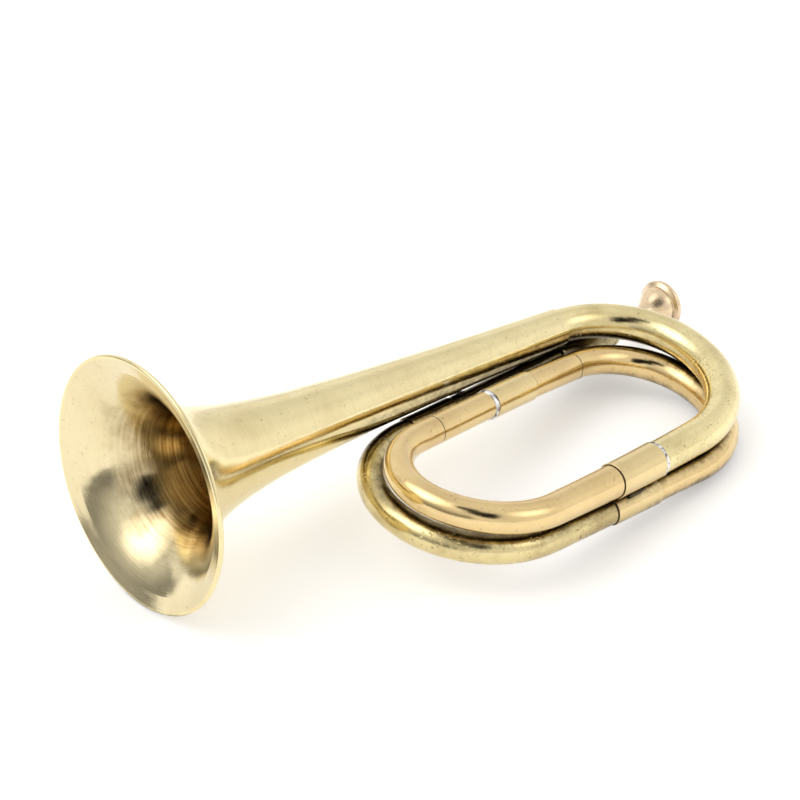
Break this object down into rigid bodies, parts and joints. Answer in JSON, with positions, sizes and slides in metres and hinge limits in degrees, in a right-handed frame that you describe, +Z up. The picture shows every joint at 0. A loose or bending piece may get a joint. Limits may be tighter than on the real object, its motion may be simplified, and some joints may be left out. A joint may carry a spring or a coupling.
{
  "type": "bugle",
  "caption": "Small brass bugle wound into a flat oval coil, lying on its side, with a flared bell and a pull-out mouthpiece.",
  "frame": {"origin": "centre of the bounding box in plan, at the height of the surface that the bugle lies on", "axes": "+X runs from the bell mouth towards the mouthpiece, +Y away from the coil, +Z up as it lies"},
  "size_m": [0.3024, 0.1618, 0.1073],
  "materials": {
    "bell_brass": "polished by hand, dulled, fine scratches round the axis",
    "bow_brass": "worn polish with dull tarnished patches",
    "coil_brass": "worn polish, warmer in colour",
    "ferrule_brass": "worn polish",
    "mouthpiece_brass": "satin, slightly pink",
    "solder": "dull soft solder"
  },
  "bodies": {
    "horn": {"bell": "bell_brass", "bell_rim_wire": "bell_brass", "bell_bow": "bow_brass", "inner_left_bow": "coil_brass", "back_tube_left": "coil_brass", "back_tube_right": "coil_brass", "lower_right_bow": "coil_brass", "outer_left_bow": "bow_brass", "leadpipe": "bow_brass", "upper_front_ferrule": "ferrule_brass", "back_ferrule": "ferrule_brass", "lower_front_ferrule": "ferrule_brass", "leadpipe_ferrule": "ferrule_brass", "upper_front_solder": "solder", "back_solder": "solder", "ferrule_solder": "solder", "bell_solder_left": "solder", "bell_solder_right": "solder", "mouthpiece_receiver": "bow_brass"},
    "mouthpiece": {"mouthpiece": "mouthpiece_brass"}
  },
  "joints": [
    {"name": "mouthpiece_slide", "type": "slide", "parent": "horn", "child": "mouthpiece", "axis": [0.9912, 0.1039, -0.0825], "range_m": [0, 0.025]}
  ]
}
